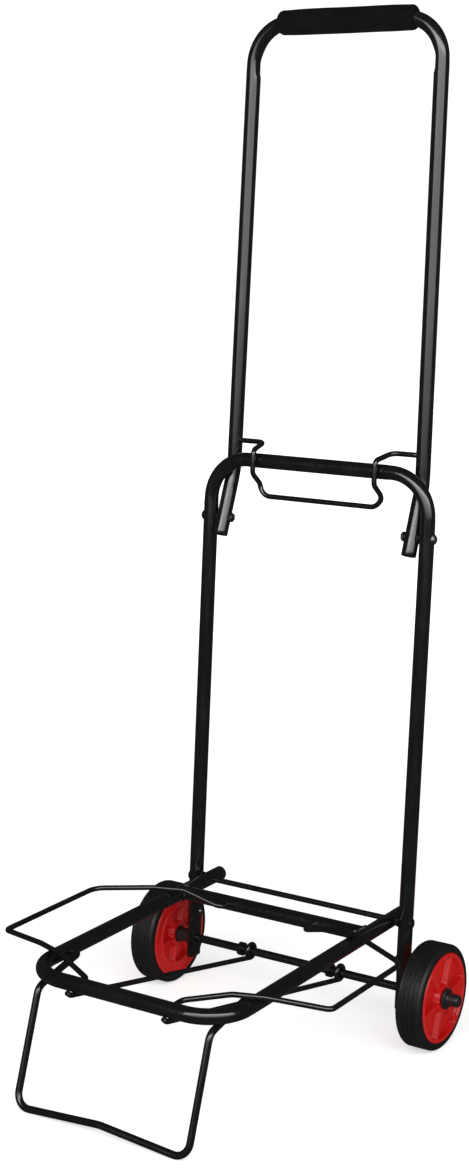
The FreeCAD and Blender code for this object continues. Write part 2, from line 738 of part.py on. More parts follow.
for name, solids in nodes.items():
    shape = one_node(solids)
    shape.exportStep("parts/" + name + ".step")
    print(name, len(shape.Solids), round(shape.Volume), shape.isValid())
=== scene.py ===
import json
import math

import bpy
import numpy as np
from mathutils import Euler, Matrix, Vector


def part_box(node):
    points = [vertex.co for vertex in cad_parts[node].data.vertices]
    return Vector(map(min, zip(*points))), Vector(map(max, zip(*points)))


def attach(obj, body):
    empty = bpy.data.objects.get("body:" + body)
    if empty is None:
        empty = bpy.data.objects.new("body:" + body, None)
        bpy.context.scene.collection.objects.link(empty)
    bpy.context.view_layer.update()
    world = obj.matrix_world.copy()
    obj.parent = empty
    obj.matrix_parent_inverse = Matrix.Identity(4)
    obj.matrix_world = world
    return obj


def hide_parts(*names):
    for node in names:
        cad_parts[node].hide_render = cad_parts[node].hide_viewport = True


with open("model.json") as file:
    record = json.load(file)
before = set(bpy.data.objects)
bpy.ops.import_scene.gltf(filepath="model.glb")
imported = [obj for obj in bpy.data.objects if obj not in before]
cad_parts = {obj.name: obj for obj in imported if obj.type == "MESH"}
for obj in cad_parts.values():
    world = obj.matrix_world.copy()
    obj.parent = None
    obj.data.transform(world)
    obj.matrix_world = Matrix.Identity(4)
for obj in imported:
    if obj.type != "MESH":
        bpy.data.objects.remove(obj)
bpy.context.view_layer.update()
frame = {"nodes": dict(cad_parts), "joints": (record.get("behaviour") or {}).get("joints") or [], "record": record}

mm = 0.001
sides = (("left", -1), ("right", 1))    # name, and its direction along the axle

# Places that the frame gives, all in metres. Joints of both sides are moved to the middle plane.
joints = {joint["name"]: np.array(joint["pos_m"]) for joint in frame["joints"]}
mounts = {mount["name"]: np.array(mount["pos_m"]) for mount in frame["record"]["mounts"]}
axlePoint = joints["left_wheel_spin"] * (0, 1, 1)
boltPoint = joints["handle_fold"] * (0, 1, 1)
deckPivot = joints["deck_fold"] * (0, 1, 1)
acrossTruck = np.array((1.0, 0.0, 0.0))
straightUp = np.array((0.0, 0.0, 1.0))
toTheBack = np.array((0.0, 1.0, 0.0))
upLeg = (boltPoint - axlePoint) / np.linalg.norm(boltPoint - axlePoint)
behindLeg = np.array((0.0, upLeg[2], -upLeg[1]))


def nodeBox(name):                      # lowest corner, highest corner
    return np.array([list(corner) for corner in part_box(name)])


def onFrame(x, height, behind=0.0):     # height is above the axle, along the leg
    return axlePoint + acrossTruck * x + upLeg * height + behindLeg * behind


def onDeck(x, reach, above=0.0):        # reach is in front of the deck's pivot
    return deckPivot + np.array((x, -reach, above))


def heightOf(point):
    return float((point - axlePoint) @ upLeg)


def behindOf(point):
    return float((point - axlePoint) @ behindLeg)


def mirrored(half):                     # the same corners on the other side, from last to first
    return [corner * (-1, 1, 1) for corner in reversed(half)]


def unit(vectors):
    return vectors / np.linalg.norm(vectors, axis=-1, keepdims=True)


def smooth(low, high, x):               # 0 below low, 1 above high, an S curve between
    t = np.clip((x - low) / (high - low), 0, 1)
    return t * t * (3 - 2 * t)


def fullTurn(count):
    return np.linspace(0, 2 * math.pi, count, endpoint=False)


def addObject(name, data):
    thing = bpy.data.objects.new(name, data)
    bpy.context.scene.collection.objects.link(thing)
    return thing


def gridMesh(name, points, poles=False, loop=False):
    # points[i, j] is a grid whose second index goes round. loop joins the last row to the first,
    # poles closes each end row with a fan to its middle.
    rows, around = points.shape[:2]
    lower = np.arange(rows if loop else rows - 1)[:, None]
    upper = (lower + 1) % rows
    here = np.arange(around)[None, :]
    there = (here + 1) % around
    quads = np.stack([lower * around + here, lower * around + there,
                      upper * around + there, upper * around + here], axis=-1)
    faces = quads.reshape(-1, 4).tolist()
    vertices = points.reshape(-1, 3)
    if poles:
        vertices = np.concatenate([vertices, [points[0].mean(0), points[-1].mean(0)]])
        startPole, endPole = rows * around, rows * around + 1
        ring, turned = here[0], there[0]
        lastRow = (rows - 1) * around
        faces += np.stack([turned, ring, np.full(around, startPole)], -1).tolist()
        faces += np.stack([lastRow + ring, lastRow + turned, np.full(around, endPole)], -1).tolist()
    mesh = bpy.data.meshes.new(name)
    mesh.from_pydata(vertices.tolist(), [], faces)
    mesh.polygons.foreach_set("use_smooth", np.ones(len(faces), bool))
    mesh.update()
    return addObject(name, mesh)


def roundedRoute(corners, bends, step=9 * mm, arcStep=6.0):
    # Straight runs joined by arcs: an arc's centre stands bend / sin(half the corner's angle)
    # from the corner, on the line that halves it, and the arc turns by 180 degrees less that angle.
    corners = np.asarray(corners, float)
    stretches = [corners[:1]]
    for before, corner, after, bend in zip(corners[:-2], corners[1:-1], corners[2:], bends):
        back = unit(before - corner)
        ahead = unit(after - corner)
        half = math.acos(float(np.clip(back @ ahead, -1, 1))) / 2
        centre = corner + unit(back + ahead) * bend / math.sin(half)
        outward = unit(corner + back * bend / math.tan(half) - centre)
        turn = math.pi - 2 * half
        count = max(3, math.ceil(math.degrees(turn) / arcStep) + 1)
        t = np.linspace(0, turn, count)[:, None]
        stretches.append(centre + bend * (np.cos(t) * outward - np.sin(t) * back))
    stretches.append(corners[-1:])
    rough = np.concatenate(stretches)
    lengths = np.linalg.norm(np.diff(rough, axis=0), axis=1)
    parts = np.maximum(1, np.ceil(lengths / step)).astype(int)
    shares = [np.linspace(0, 1, n, endpoint=False)[:, None] for n in parts]
    filled = [a + (b - a) * share for a, b, share in zip(rough[:-1], rough[1:], shares)]
    return np.concatenate(filled + [rough[-1:]])


def travel(route):
    # Direction at each point: the mean of the runs before and after it.
    runs = unit(np.diff(route, axis=0))
    return unit(np.concatenate([runs[:1], runs[:-1] + runs[1:], runs[-1:]]))


def alongRoute(route, first):
    # Two directions square to the route at each point. The first starts at first and doesn't
    # twist: each is the last one, less its part along the new direction of travel.
    along = travel(route)
    beside = [unit(first - along[0] * (first @ along[0]))]
    for direction in along[1:]:
        beside.append(unit(beside[-1] - direction * (beside[-1] @ direction)))
    beside = np.array(beside)
    return beside, np.cross(along, beside)


def carry(route, first, radius, around, shape=None):
    # A ring of the given radius carried along a route: point = route + cos(a) * side + sin(a) * up.
    # shape changes the ring's two coordinates where a tube is dented or flattened.
    side, up = alongRoute(route, first)
    angle = fullTurn(around)[None, :]
    u = radius * np.cos(angle) * np.ones((len(route), 1))
    v = radius * np.sin(angle) * np.ones((len(route), 1))
    if shape:
        u, v = shape(route, angle, u, v)
    return route[:, None] + u[..., None] * side[:, None] + v[..., None] * up[:, None]


wireEnd = {"edge": 0.5 * mm, "rows": (0, 30, 60)}       # rounding, and its rows in degrees


def wire(name, route, first, radius, around=24):
    # A solid wire: the ring carried along the route. Each end is rounded: a row at angle t stands
    # in by edge * (1 - cos t), and its radius is smaller by edge * (1 - sin t).
    turn = np.radians(wireEnd["rows"])
    back = (wireEnd["edge"] * (1 - np.cos(turn)))[:, None]
    thin = 1 - wireEnd["edge"] * (1 - np.sin(turn)) / radius
    start = route[0] + unit(route[1] - route[0]) * back
    end = route[-1] - unit(route[-1] - route[-2]) * back[::-1]
    whole = np.concatenate([start, route[1:-1], end])
    scale = np.concatenate([thin, np.ones(len(route) - 2), thin[::-1]])[:, None]
    rings = carry(whole, first, radius, around, lambda route, angle, u, v: (u * scale, v * scale))
    return gridMesh(name, rings, poles=True)


tubeMake = {
    "wall": 1.2 * mm,
    "around": 44,                       # points round the tube
    "edge": 0.3 * mm,                   # the outer edge of a cut end is eased by this much
    "lip": 0.25,                        # share of the wall that the easing takes
    "fullBend": 12,                     # curvature, per metre, that counts as a full bend
}
tubeRadius = float(np.diff(nodeBox("deck_crossbar")[:, 2])[0]) / 2


def tubeOn(name, route, first, shape=None):
    # An open tube: the outer ring out along the route, the inner ring back, joined at both ends.
    outside = carry(route, first, tubeRadius, tubeMake["around"], shape)
    inside = carry(route, first, tubeRadius - tubeMake["wall"], tubeMake["around"], shape)
    lip = tubeMake["lip"]
    startLip = outside[:1] * (1 - lip) + inside[:1] * lip
    endLip = outside[-1:] * (1 - lip) + inside[-1:] * lip
    outside[0] = outside[0] + unit(route[1] - route[0]) * tubeMake["edge"]
    outside[-1] = outside[-1] - unit(route[-1] - route[-2]) * tubeMake["edge"]
    return gridMesh(name, np.concatenate([startLip, outside, endLip, inside[::-1]]), loop=True)


def squashed(route, amount):
    # 1 on straight runs and 1 - amount inside a bend. The turn between two points, over the length
    # between them, is the curvature.
    gaps = np.linalg.norm(np.diff(route, axis=0), axis=1)
    turning = np.linalg.norm(np.diff(travel(route), axis=0), axis=1) / gaps
    turning = np.concatenate([turning[:1], (turning[:-1] + turning[1:]) / 2, turning[-1:]])
    return 1 - amount * smooth(0, tubeMake["fullBend"], turning)[:, None]


def turnedGrid(x, radius, around, side):
    # Rows turned about the axle: x along it, radius * (sin, cos) across it. The rows are taken
    # backwards on the right, so that faces point outwards on both sides.
    angle = fullTurn(around)
    ray = np.stack([0 * angle, np.sin(angle), np.cos(angle)], -1)
    points = axlePoint + side * x[..., None] * acrossTruck + radius[..., None] * ray
    return points[::-1] if side > 0 else points


def finish(piece, material, body, slot, *nodes):
    piece.data.materials.clear()
    piece.data.materials.append(material)
    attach(piece, body)
    if nodes:
        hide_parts(*nodes)
    return piece


# In the materials a scale is in waves per metre, and a depth is a bump's height.

def newMaterial(name):
    material = bpy.data.materials.new(name)
    material.use_nodes = True
    tree = material.node_tree
    place = tree.nodes.new("ShaderNodeTexCoord").outputs["Object"]
    return material, tree, tree.nodes.get("Principled BSDF"), place


def noise(tree, place, scale, detail=2.0, roughness=0.5, stretch=None):
    texture = tree.nodes.new("ShaderNodeTexNoise")
    texture.inputs["Scale"].default_value = scale
    texture.inputs["Detail"].default_value = detail
    texture.inputs["Roughness"].default_value = roughness
    if stretch:
        mapping = tree.nodes.new("ShaderNodeMapping")
        mapping.inputs["Scale"].default_value = stretch
        tree.links.new(place, mapping.inputs["Vector"])
        place = mapping.outputs["Vector"]
    tree.links.new(place, texture.inputs["Vector"])
    return texture.outputs["Fac"]


def spread(tree, value, low, high, fromLow=0.3, fromHigh=0.7):
    ramp = tree.nodes.new("ShaderNodeMapRange")
    ramp.inputs["From Min"].default_value = fromLow
    ramp.inputs["From Max"].default_value = fromHigh
    ramp.inputs["To Min"].default_value = low
    ramp.inputs["To Max"].default_value = high
    tree.links.new(value, ramp.inputs["Value"])
    return ramp.outputs["Result"]


def blendColours(tree, value, dark, light):
    mix = tree.nodes.new("ShaderNodeMix")
    mix.data_type = "RGBA"
    mix.inputs["A"].default_value = (*dark, 1)
    mix.inputs["B"].default_value = (*light, 1)
    tree.links.new(value, mix.inputs["Factor"])
    return mix.outputs["Result"]


def addBump(tree, shader, value, strength, depth, before=None):
    bump = tree.nodes.new("ShaderNodeBump")
    bump.inputs["Strength"].default_value = strength
    bump.inputs["Distance"].default_value = depth
    tree.links.new(value, bump.inputs["Height"])
    if before:
        tree.links.new(before, bump.inputs["Normal"])
    tree.links.new(bump.outputs["Normal"], shader.inputs["Normal"])
    return bump.outputs["Normal"]


paint = {
    "colour": (0.0042, 0.0042, 0.0044),
    "bloom": (0.0075, 0.0075, 0.0078),  # thinner, slightly greyer patches
    "bloomScale": 38,
    "bloomFrom": (0.45, 0.8),           # noise levels between which a patch comes up
    "roughness": (0.10, 0.26),
    "drawnScale": 260,                  # faint streaks from drawing the tube
    "drawnStretch": (1, 1, 0.03),
    "gloss": 1.72,                      # index of refraction
    "coat": 0.25,
    "coatRoughness": 0.06,
    "peelScale": 420,                   # orange peel
    "peelStrength": 0.10,
    "peelDepth": 0.05 * mm,
    "speckScale": 1400,                 # dust caught in the paint
    "speckFrom": (0.68, 0.78),
    "speckStrength": 0.12,
    "speckDepth": 0.04 * mm,
}


def enamel(name, values):
    # Gloss stoved enamel: near black, with orange peel and faint patches of haze.
    material, tree, shader, place = newMaterial(name)
    haze = spread(tree, noise(tree, place, values["bloomScale"], detail=4), 0, 1, *values["bloomFrom"])
    tree.links.new(blendColours(tree, haze, values["colour"], values["bloom"]),
                   shader.inputs["Base Color"])
    drawn = noise(tree, place, values["drawnScale"], detail=3, roughness=0.6,
                  stretch=values["drawnStretch"])
    tree.links.new(spread(tree, drawn, *values["roughness"]), shader.inputs["Roughness"])
    shader.inputs["IOR"].default_value = values["gloss"]
    shader.inputs["Coat Weight"].default_value = values["coat"]
    shader.inputs["Coat Roughness"].default_value = values["coatRoughness"]
    peel = addBump(tree, shader, noise(tree, place, values["peelScale"], detail=1),
                   values["peelStrength"], values["peelDepth"])
    dirt = noise(tree, place, values["speckScale"], roughness=0.6)
    specks = spread(tree, dirt, 0, 1, *values["speckFrom"])
    addBump(tree, shader, specks, values["speckStrength"], values["speckDepth"], peel)
    return material


tubePaint = enamel("tubePaint", paint)
wirePaint = enamel("wirePaint", {**paint, "roughness": (0.16, 0.24), "peelScale": 600, "coat": 0.2})

foam = {
    "colour": (0.0022, 0.0022, 0.0020),
    "light": (0.0044, 0.0044, 0.0040),  # where hands have pressed it
    "pressedScale": 45,
    "roughness": (0.78, 0.95),
    "roughScale": 300,
    "poreScale": 900,
    "poreFrom": (0.1, 0.5),
    "poreStrength": 0.35,
    "poreDepth": 0.15 * mm,
    "waveScale": 260,
    "waveStrength": 0.3,
    "waveDepth": 0.2 * mm,
    "shine": 0.07,
    "sheen": 0.01,
    "sheenRoughness": 0.5,
}


def foamRubber(name, values):
    # Closed-cell foam: matt, with fine pores and slow patches.
    material, tree, shader, place = newMaterial(name)
    pressed = spread(tree, noise(tree, place, values["pressedScale"], detail=3), 0, 1)
    tree.links.new(blendColours(tree, pressed, values["colour"], values["light"]),
                   shader.inputs["Base Color"])
    cells = tree.nodes.new("ShaderNodeTexVoronoi")
    cells.inputs["Scale"].default_value = values["poreScale"]
    tree.links.new(place, cells.inputs["Vector"])
    rough = spread(tree, noise(tree, place, values["roughScale"], detail=3), *values["roughness"])
    tree.links.new(rough, shader.inputs["Roughness"])
    pores = addBump(tree, shader, spread(tree, cells.outputs["Distance"], 0, 1, *values["poreFrom"]),
                    values["poreStrength"], values["poreDepth"])
    addBump(tree, shader, noise(tree, place, values["waveScale"], detail=3),
            values["waveStrength"], values["waveDepth"], pores)
    shader.inputs["Specular IOR Level"].default_value = values["shine"]
    shader.inputs["Sheen Weight"].default_value = values["sheen"]
    shader.inputs["Sheen Roughness"].default_value = values["sheenRoughness"]
    return material


foamBlack = foamRubber("foamBlack", foam)

rubber = {
    "colour": (0.0055, 0.0060, 0.0055),
    "worn": (0.0090, 0.0090, 0.0086),
    "dustScale": 70,
    "dustFrom": (0.42, 0.75),
    "roughness": (0.36, 0.52),
    "roughScale": 160,
    "grainScale": 1500,
    "grainStrength": 0.22,
    "grainDepth": 0.06 * mm,
    "scuffScale": 120,
    "scuffStrength": 0.15,
    "scuffDepth": 0.2 * mm,
}


def tyreRubber(name, values):
    # Moulded hard rubber: dull sheen on the sides, scuffed and a little dusty.
    material, tree, shader, place = newMaterial(name)
    patches = noise(tree, place, values["dustScale"], detail=5, roughness=0.6)
    dust = spread(tree, patches, 0, 1, *values["dustFrom"])
    tree.links.new(blendColours(tree, dust, values["colour"], values["worn"]),
                   shader.inputs["Base Color"])
    rough = spread(tree, noise(tree, place, values["roughScale"], detail=4), *values["roughness"])
    tree.links.new(rough, shader.inputs["Roughness"])
    grain = addBump(tree, shader, noise(tree, place, values["grainScale"], detail=3, roughness=0.6),
                    values["grainStrength"], values["grainDepth"])
    addBump(tree, shader, noise(tree, place, values["scuffScale"], detail=3),
            values["scuffStrength"], values["scuffDepth"], grain)
    return material


tyreBlack = tyreRubber("tyreBlack", rubber)

rimRed = {
    "colour": (0.52, 0.0045, 0.0035),
    "deep": (0.45, 0.0030, 0.0030),
    "flowScale": 30,                    # slow marks where the plastic flowed
    "flowStretch": (1, 1, 0.5),
    "roughness": (0.26, 0.36),
    "roughScale": 120,
    "grainScale": 900,
    "grainStrength": 0.03,
    "grainDepth": 0.05 * mm,
}
capBlack = {
    **rimRed,
    "colour": (0.014, 0.015, 0.016),
    "deep": (0.009, 0.009, 0.010),
    "roughness": (0.28, 0.42),
    "grainStrength": 0.15,
}


def mouldedPlastic(name, values):
    # Injection-moulded plastic: even colour with slow flow marks and a fine grain.
    material, tree, shader, place = newMaterial(name)
    marks = noise(tree, place, values["flowScale"], detail=3, stretch=values["flowStretch"])
    flow = spread(tree, marks, 0, 1)
    tree.links.new(blendColours(tree, flow, values["deep"], values["colour"]),
                   shader.inputs["Base Color"])
    rough = spread(tree, noise(tree, place, values["roughScale"], detail=3), *values["roughness"])
    tree.links.new(rough, shader.inputs["Roughness"])
    addBump(tree, shader, noise(tree, place, values["grainScale"]),
            values["grainStrength"], values["grainDepth"])
    return material


redPlastic = mouldedPlastic("redPlastic", rimRed)
blackPlastic = mouldedPlastic("blackPlastic", capBlack)

zinc = {
    "colour": (0.34, 0.34, 0.33),
    "dull": (0.16, 0.16, 0.155),
    "cloudScale": 220,
    "roughness": (0.45, 0.25),          # dull clouds are the rougher ones
    "scratchScale": 700,
    "scratchStretch": (1, 1, 6),
    "scratchStrength": 0.15,
    "scratchDepth": 0.04 * mm,
}


def platedSteel(name, values):
    # Zinc-plated steel: grey metal, cloudy, with fine random scratches.
    material, tree, shader, place = newMaterial(name)
    cloud = noise(tree, place, values["cloudScale"], detail=4, roughness=0.6)
    tree.links.new(blendColours(tree, spread(tree, cloud, 0, 1), values["dull"], values["colour"]),
                   shader.inputs["Base Color"])
    shader.inputs["Metallic"].default_value = 1.0
    tree.links.new(spread(tree, cloud, *values["roughness"]), shader.inputs["Roughness"])
    scratches = noise(tree, place, values["scratchScale"], detail=3, stretch=values["scratchStretch"])
    addBump(tree, shader, scratches, values["scratchStrength"], values["scratchDepth"])
    return material


zincSteel = platedSteel("zincSteel", zinc)

finishes = {"black_paint": tubePaint, "black_wire": wirePaint, "foam_grip": foamBlack,
            "zinc_steel": zincSteel, "black_plastic": blackPlastic, "red_plastic": redPlastic,
            "tyre_rubber": tyreBlack}
for node in frame["nodes"].values():
    for index, cadMaterial in enumerate(node.data.materials):
        node.data.materials[index] = finishes[cadMaterial.name.split(".")[0]]
print("materials ready:", len(finishes))


lowerFrame = {
    "legX": nodeBox("lower_frame")[1, 0] - tubeRadius,
    "foot": 18.5 * mm,                  # below the axle
    "top": heightOf(mounts["crossbar"]),
    "bend": 40 * mm,
    "flatThickness": 3.8 * mm,          # half, across the truck
    "flatWidth": 9.2 * mm,              # half, along the floor
    "flatFrom": 12 * mm,                # all flat below this height above the axle
    "roundFrom": 25 * mm,
    "flatCorner": 2.5,                  # how quickly the flat's width is reached round the ring
    "bendSquash": 0.035,                # a bend is this much thinner towards its centre
}


def lowerFrameShape(route, angle, u, v):
    # Round tube above, pressed flat at the feet: the ring's thickness goes from the tube's radius
    # to the flat's, and its width grows by what is left over. u is across the truck here.
    height = (route - axlePoint) @ upLeg
    flat = (1 - smooth(lowerFrame["flatFrom"], lowerFrame["roundFrom"], height))[:, None]
    thick = np.hypot(u, v) + flat * (lowerFrame["flatThickness"] - tubeRadius)
    grow = flat * (lowerFrame["flatWidth"] - lowerFrame["flatThickness"])
    u = thick * np.cos(angle) * squashed(route, lowerFrame["bendSquash"])
    return u, thick * np.sin(angle) + grow * np.clip(lowerFrame["flatCorner"] * np.sin(angle), -1, 1)


def lowerFrameRoute():
    leg = [onFrame(-lowerFrame["legX"], -lowerFrame["foot"]),
           onFrame(-lowerFrame["legX"], lowerFrame["top"])]
    return roundedRoute(leg + mirrored(leg), [lowerFrame["bend"]] * 2, step=5 * mm, arcStep=4)


piece = tubeOn("lower_frame_tube", lowerFrameRoute(), acrossTruck, lowerFrameShape)
finish(piece, tubePaint, "frame", "black_paint", "lower_frame")
print("lower frame done")


handle = {
    "lowX": nodeBox("upper_handle")[1, 0] - tubeRadius,
    "taper": 4 * mm,                    # each leg leans in by this much above the kink
    "top": heightOf(mounts["grip"]),
    "behind": behindOf(mounts["grip"]),
    "kinkDrop": 11.2 * mm,              # kink below the crossbar
    "tail": 17 * mm,                    # tube below the bolts
    "bend": 38 * mm,
    "kinkBend": 45 * mm,
    "dieDepth": 1.35 * mm,              # flat left by the bending die, inside the end of each top bend
    "dieUp": 8 * mm,                    # its reach above and below the bend's end
    "dieDown": 11 * mm,
    "dieFull": (0.8, 0.4),              # shares of dieDown and dieUp between which it is deepest
    "dieGone": 2,                       # share of dieUp where it has run out
    "dieRound": 1.5,                    # how quickly it gets shallower round the tube
    "bendSquash": 0.03,
}


def handleShape(route, angle, u, v):
    # The bending die leaves a flat on the inner side of each top bend where the straight begins:
    # the ring is cut back towards the middle plane, most at the die's centre.
    height = (route - axlePoint) @ upLeg
    bendEnd = handle["top"] - handle["bend"]
    fullBelow, fullAbove = handle["dieFull"]
    mark = smooth(bendEnd - handle["dieDown"], bendEnd - fullBelow * handle["dieDown"], height)
    mark *= 1 - smooth(bendEnd + fullAbove * handle["dieUp"],
                       bendEnd + handle["dieGone"] * handle["dieUp"], height)
    inward = -np.sign(route[:, 0])[:, None] * acrossTruck
    side, up = alongRoute(route, acrossTruck)
    inU = (inward * side).sum(1)[:, None]
    inV = (inward * up).sum(1)[:, None]
    facing = np.clip(np.cos(angle) * inU + np.sin(angle) * inV, 0, 1) ** handle["dieRound"]
    depth = handle["dieDepth"] * mark[:, None] * facing
    return (u - depth * inU) * squashed(route, handle["bendSquash"]), v - depth * inV


def handleRoute():
    # The lower ends lean so that each leg passes through its bolt: lean = behind / rise.
    kinkHeight = lowerFrame["top"] - handle["kinkDrop"]
    boltHeight = heightOf(boltPoint)
    lean = handle["behind"] / (kinkHeight - boltHeight)
    half = [onFrame(-handle["lowX"], boltHeight - handle["tail"], -handle["tail"] * lean),
            onFrame(-handle["lowX"], kinkHeight, handle["behind"]),
            onFrame(-(handle["lowX"] - handle["taper"]), handle["top"], handle["behind"])]
    bends = [handle["kinkBend"], handle["bend"]]
    return roundedRoute(half + mirrored(half), bends + bends[::-1], step=4 * mm, arcStep=4)


piece = tubeOn("handle_tube", handleRoute(), acrossTruck, handleShape)
finish(piece, tubePaint, "handle", "black_paint", "upper_handle")

gripBox = nodeBox("handle_grip")
grip = {
    "half": gripBox[1, 0],
    "radius": (gripBox[1, 1] - gripBox[0, 1]) / 2,
    "bore": tubeRadius - 0.15 * mm,
    "endRound": 4 * mm,
    "pinch": 0.5 * mm,                  # the foam is drawn in a little towards each end
    "pinchFrom": 0.6,                   # share of the half length where that begins
    "press": 0.35 * mm,                 # slow waves where fingers have pressed
    "pressMean": 0.5,
    "pressSwing": 0.3,
    "wave": (95, 1.3, 0.7),             # radians per metre along the grip, start, turn round it
    "twist": (61, 0.6, 2),              # radians per metre, share of the first, turns round it
    "around": 56,
    "rows": 60,
    "endRows": 9,
}


def gripSleeve():
    # A sleeve about the handle's top tube: radius = full radius, less a quarter circle at each end,
    # less a slow pinch near the ends and a few slow waves along and round it.
    turn = np.radians(np.linspace(0, 90, grip["endRows"]))
    straight = grip["half"] - grip["endRound"]
    endX = straight + grip["endRound"] * np.sin(turn[::-1])
    endR = grip["radius"] - grip["endRound"] + grip["endRound"] * np.cos(turn[::-1])
    middleX = np.linspace(straight, -straight, grip["rows"])[1:-1]
    x = np.concatenate([endX, middleX, -endX[::-1]])
    radius = np.concatenate([endR, np.full(len(middleX), grip["radius"]), endR[::-1]])
    angle = fullTurn(grip["around"])[None, :]
    pinch = grip["pinch"] * smooth(grip["pinchFrom"] * grip["half"], grip["half"], np.abs(x))
    pace, start, lead = grip["wave"]
    twistPace, share, turns = grip["twist"]
    waves = (np.sin(x[:, None] * pace + start) * np.cos(angle - lead)
             + share * np.sin(x[:, None] * twistPace - turns * angle))
    pressed = grip["press"] * (grip["pressMean"] + grip["pressSwing"] * waves)
    outer = radius[:, None] - pinch[:, None] - pressed
    bore = np.full((len(x), 1), grip["bore"]) * np.ones_like(angle)
    rings = np.concatenate([outer, bore[::-1]])
    places = np.concatenate([x, x[::-1]])
    centre = onFrame(0, handle["top"], handle["behind"])
    return (centre + places[:, None, None] * acrossTruck + (rings * np.cos(angle))[..., None] * upLeg
            + (rings * np.sin(angle))[..., None] * behindLeg)


piece = gridMesh("foam_sleeve", gripSleeve(), loop=True)
finish(piece, foamBlack, "handle", "foam_grip", "handle_grip")
print("handle done")


latch = {
    "radius": 2.5 * mm,
    "end": nodeBox("latch_wire")[1, 0],
    "shoulder": 70 * mm,                # half width where the wire turns to the front
    "front": 66 * mm,
    "clear": 0.9 * mm,                  # between the wire and the crossbar
    "underGap": 5.5 * mm,
    "hookRise": 3 * mm,
    "hookDrop": 8 * mm,
    "barDrop": 34 * mm,
    "barBehind": 5 * mm,
    "bends": [8 * mm, 6 * mm, 7 * mm, 8 * mm, 11 * mm],     # from the end to the bar
}


def latchRoute():
    # From each leg inwards, forwards over the crossbar, down in front of it, back under it and down
    # to the bar. reach keeps the wire clear of the crossbar on all sides.
    height = heightOf(joints["latch_lift"])
    behind = behindOf(joints["latch_lift"])
    crossbar = lowerFrame["top"]
    reach = tubeRadius + latch["radius"] + latch["clear"]
    under = crossbar - tubeRadius - latch["radius"] - latch["underGap"]
    half = [onFrame(-latch["end"], height, behind),
            onFrame(-latch["shoulder"], height, behind),
            onFrame(-latch["front"], crossbar + reach, -reach),
            onFrame(-latch["front"], under + latch["hookRise"], -reach),
            onFrame(-latch["front"], under - latch["hookDrop"], latch["barBehind"]),
            onFrame(-latch["front"], crossbar - latch["barDrop"], latch["barBehind"])]
    bends = latch["bends"] + latch["bends"][::-1]
    return roundedRoute(half + mirrored(half), bends, step=8 * mm, arcStep=9)


piece = wire("latch_spring_wire", latchRoute(), upLeg, latch["radius"])
finish(piece, wirePaint, "latch", "black_wire", "latch_wire")
print("latch done")


deckBox = nodeBox("deck_frame")
deck = {
    "x": deckBox[1, 0] - tubeRadius,
    "front": deckPivot[1] - (deckBox[0, 1] + tubeRadius),
    "tail": deckBox[1, 1] - deckPivot[1],
    "bend": 38 * mm,
    "bendSquash": 0.035,
    "barReach": deckPivot[1] - (nodeBox("deck_crossbar")[0, 1] + tubeRadius),
    "barSunk": 0.35,                    # the crossbar's ends go this share of a radius into the tubes
}


def deckShape(route, angle, u, v):
    return u * squashed(route, deck["bendSquash"]), v


def deckRoute():
    half = [onDeck(-deck["x"], -deck["tail"]), onDeck(-deck["x"], deck["front"])]
    return roundedRoute(half + mirrored(half), [deck["bend"]] * 2, step=8 * mm, arcStep=4)


piece = tubeOn("deck_tube", deckRoute(), acrossTruck, deckShape)
finish(piece, tubePaint, "deck", "black_paint", "deck_frame")

barEnd = deck["x"] - deck["barSunk"] * tubeRadius
barRoute = roundedRoute([onDeck(-barEnd, deck["barReach"]), onDeck(barEnd, deck["barReach"])], [])
piece = tubeOn("deck_crossbar_tube", barRoute, toTheBack)
finish(piece, tubePaint, "deck", "black_paint", "deck_crossbar")

weld = {
    "bead": 1.3 * mm,
    "ripple": 0.22 * mm,
    "ripples": 26,
    "gap": 0.1 * mm,
    "ease": 0.02,                       # rounds the bead's path where it turns at top and bottom
    "outward": 0.7,
    "points": 160,
    "around": 10,
}


def weldBead(name, side):
    # The bead follows the line where two equal tubes meet at right angles: at angle a round the
    # crossbar it stands |cos a| of a radius short of the side tube's centre. It swells in ripples.
    a = fullTurn(weld["points"])
    radius = tubeRadius + weld["gap"]
    x = side * (deck["x"] - radius * np.sqrt(np.cos(a) ** 2 + weld["ease"]))
    path = np.stack([x, radius * np.cos(a), radius * np.sin(a)], -1) + onDeck(0, deck["barReach"])
    along = unit(np.roll(path, -1, 0) - np.roll(path, 1, 0))
    out = np.stack([np.full_like(a, -side * weld["outward"]), np.cos(a), np.sin(a)], -1)
    out = unit(out - along * (out * along).sum(1, keepdims=True))
    up = np.cross(along, out)
    size = weld["bead"] + weld["ripple"] * np.sin(weld["ripples"] * a)
    ring = fullTurn(weld["around"])[None, :, None]
    swell = np.cos(ring) * out[:, None] + np.sin(ring) * up[:, None]
    return gridMesh(name, path[:, None] + size[:, None, None] * swell, loop=True)


for name, side in sides:
    finish(weldBead("deck_weld_" + name, side), tubePaint, "deck", "black_paint")
print("deck done")


wing = {
    "radius": 2.5 * mm,
    "rise": 0.3 * mm,                   # above the side tube
    "outerRise": 6 * mm,
    "rearCross": 70 * mm,               # where the rear leg crosses the side tube
    "rearCorner": 100 * mm,
    "frontCornerBack": 56 * mm,         # behind the front tube's centre
    "frontCrossBack": 35 * mm,
    "slant": 5 * mm,
    "rearRun": 8 * mm,
    "frontRun": 9 * mm,
    "nest": 7 * mm,                     # the right wing is this much shorter at each end
    "pin": 5 * mm,
    "bend": 7 * mm,
    "frontBend": 4.9 * mm,
    "crossBend": 21 * mm,
    "cornerBend": 16 * mm,
}


